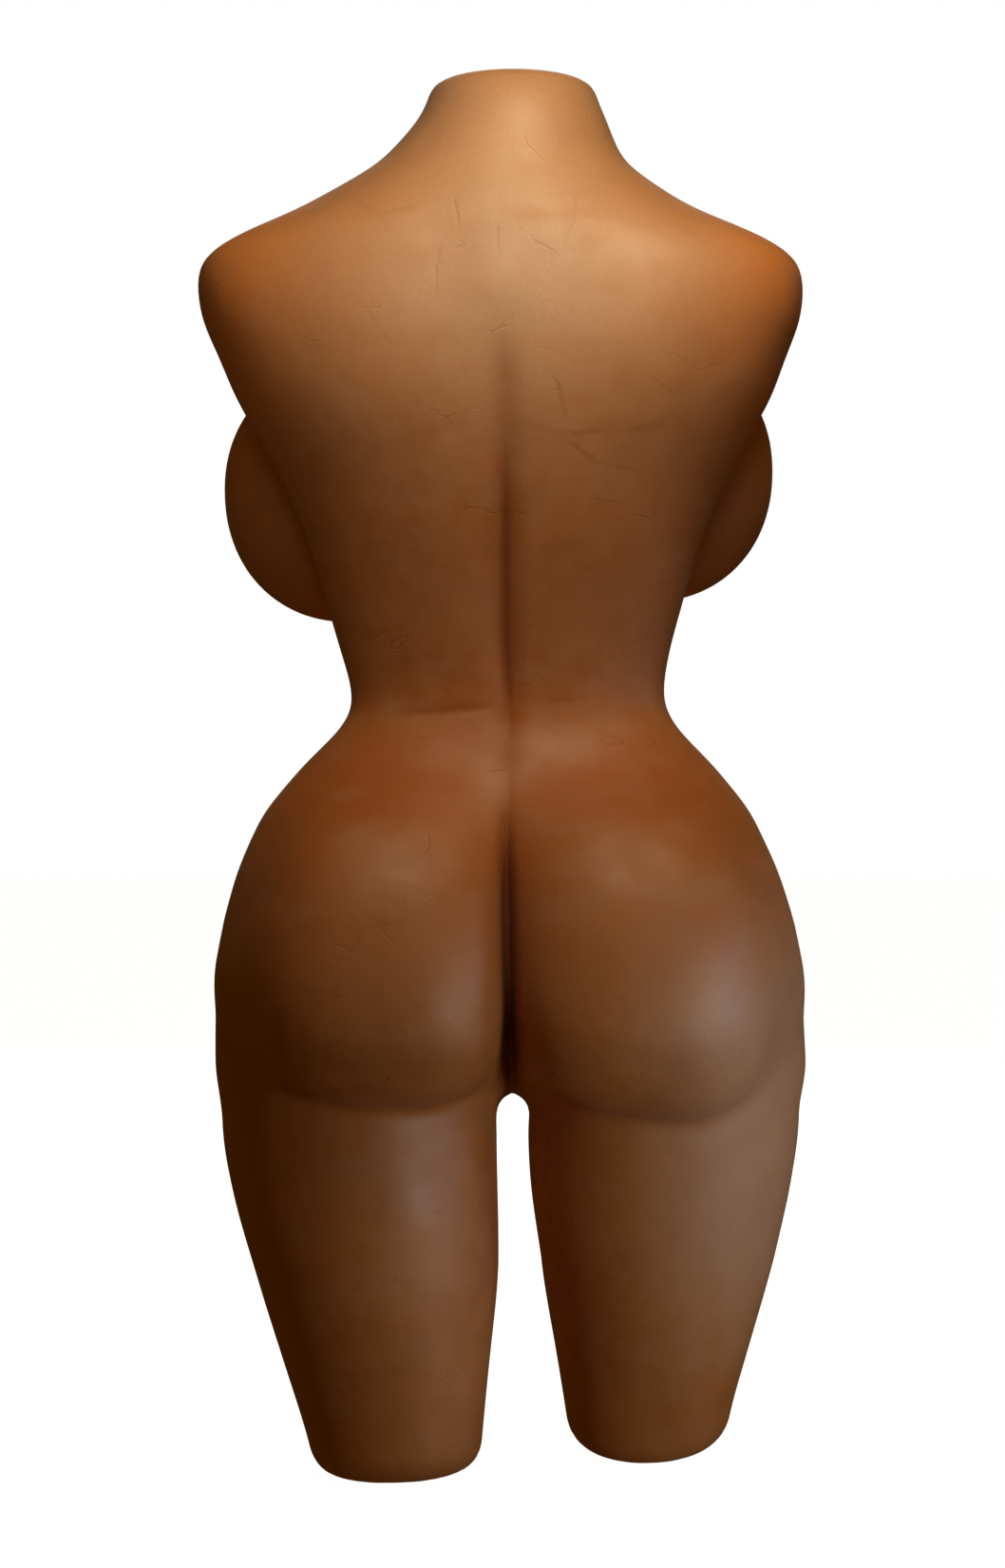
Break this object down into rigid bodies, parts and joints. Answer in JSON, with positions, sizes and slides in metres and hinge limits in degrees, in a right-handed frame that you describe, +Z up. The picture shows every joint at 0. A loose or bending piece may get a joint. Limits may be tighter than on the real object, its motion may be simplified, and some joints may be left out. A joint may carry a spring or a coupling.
{
  "type": "body mannequin torso",
  "caption": "Headless, armless soft-skinned body mannequin with thigh stumps: cast flesh over foam cores and a steel frame that bends at the waist and hips.",
  "frame": {"origin": "on the floor under the middle of the bounding box, with the left thigh's flat end on the floor", "axes": "+Z up the body towards the neck, -Y the way the chest faces, +X towards the mannequin's left"},
  "size_m": [0.3882, 0.3374, 0.8938],
  "materials": {
    "skin": "satin",
    "foam": "matte",
    "frame_steel": "satin",
    "zinc_hardware": "satin",
    "cap_plastic": "matte",
    "friction_fibre": "matte"
  },
  "bodies": {
    "pelvis": {"left_hip_bracket": "frame_steel", "left_hip_flexion_bolt": "zinc_hardware", "left_hip_flexion_nut": "zinc_hardware", "left_hip_inner_flexion_washer": "friction_fibre", "left_hip_outer_flexion_washer": "friction_fibre", "lower_spine_tube": "frame_steel", "pelvis_crossbar": "frame_steel", "pelvis_foam_core": "foam", "pelvis_skin": "skin", "right_hip_bracket": "frame_steel", "right_hip_flexion_bolt": "zinc_hardware", "right_hip_flexion_nut": "zinc_hardware", "right_hip_inner_flexion_washer": "friction_fibre", "right_hip_outer_flexion_washer": "friction_fibre", "waist_bolt": "zinc_hardware", "waist_fork": "frame_steel", "waist_left_washer": "friction_fibre", "waist_nut": "zinc_hardware", "waist_right_washer": "friction_fibre"},
    "chest": {"chest_foam_core": "foam", "chest_hub_block": "frame_steel", "chest_skin": "skin", "left_shoulder_bar": "frame_steel", "left_shoulder_cap": "cap_plastic", "neck_end_plate": "frame_steel", "neck_post": "frame_steel", "right_shoulder_bar": "frame_steel", "right_shoulder_cap": "cap_plastic", "upper_spine_tube": "frame_steel", "waist_tongue": "frame_steel"},
    "left_hip_swivel": {"left_hip_back_spread_washer": "friction_fibre", "left_hip_front_spread_washer": "friction_fibre", "left_hip_spread_nut": "zinc_hardware", "left_hip_spread_pin": "zinc_hardware", "left_hip_yoke": "frame_steel"},
    "left_thigh": {"left_thigh_end_plate": "frame_steel", "left_thigh_foam_core": "foam", "left_thigh_fork": "frame_steel", "left_thigh_rod": "frame_steel", "left_thigh_skin": "skin"},
    "right_hip_swivel": {"right_hip_back_spread_washer": "friction_fibre", "right_hip_front_spread_washer": "friction_fibre", "right_hip_spread_nut": "zinc_hardware", "right_hip_spread_pin": "zinc_hardware", "right_hip_yoke": "frame_steel"},
    "right_thigh": {"right_thigh_end_plate": "frame_steel", "right_thigh_foam_core": "foam", "right_thigh_fork": "frame_steel", "right_thigh_rod": "frame_steel", "right_thigh_skin": "skin"}
  },
  "joints": [
    {"name": "waist_bend", "type": "hinge", "parent": "pelvis", "child": "chest", "pos_m": [0, 0.02683, 0.49683], "axis": [1, 0, 0], "range_deg": [-15, 35]},
    {"name": "left_hip_flexion", "type": "hinge", "parent": "pelvis", "child": "left_hip_swivel", "pos_m": [0.09, 0.02683, 0.31083], "axis": [-1, 0, 0], "range_deg": [-10, 60]},
    {"name": "left_hip_spread", "type": "hinge", "parent": "left_hip_swivel", "child": "left_thigh", "pos_m": [0.09, 0.02683, 0.28283], "axis": [0, -1, 0], "range_deg": [-3, 30]},
    {"name": "right_hip_flexion", "type": "hinge", "parent": "pelvis", "child": "right_hip_swivel", "pos_m": [-0.09, 0.02683, 0.31083], "axis": [-1, 0, 0], "range_deg": [-22, 48]},
    {"name": "right_hip_spread", "type": "hinge", "parent": "right_hip_swivel", "child": "right_thigh", "pos_m": [-0.09, 0.02101, 0.28344], "axis": [0, 0.9781, -0.2079], "range_deg": [-3, 28]}
  ]
}
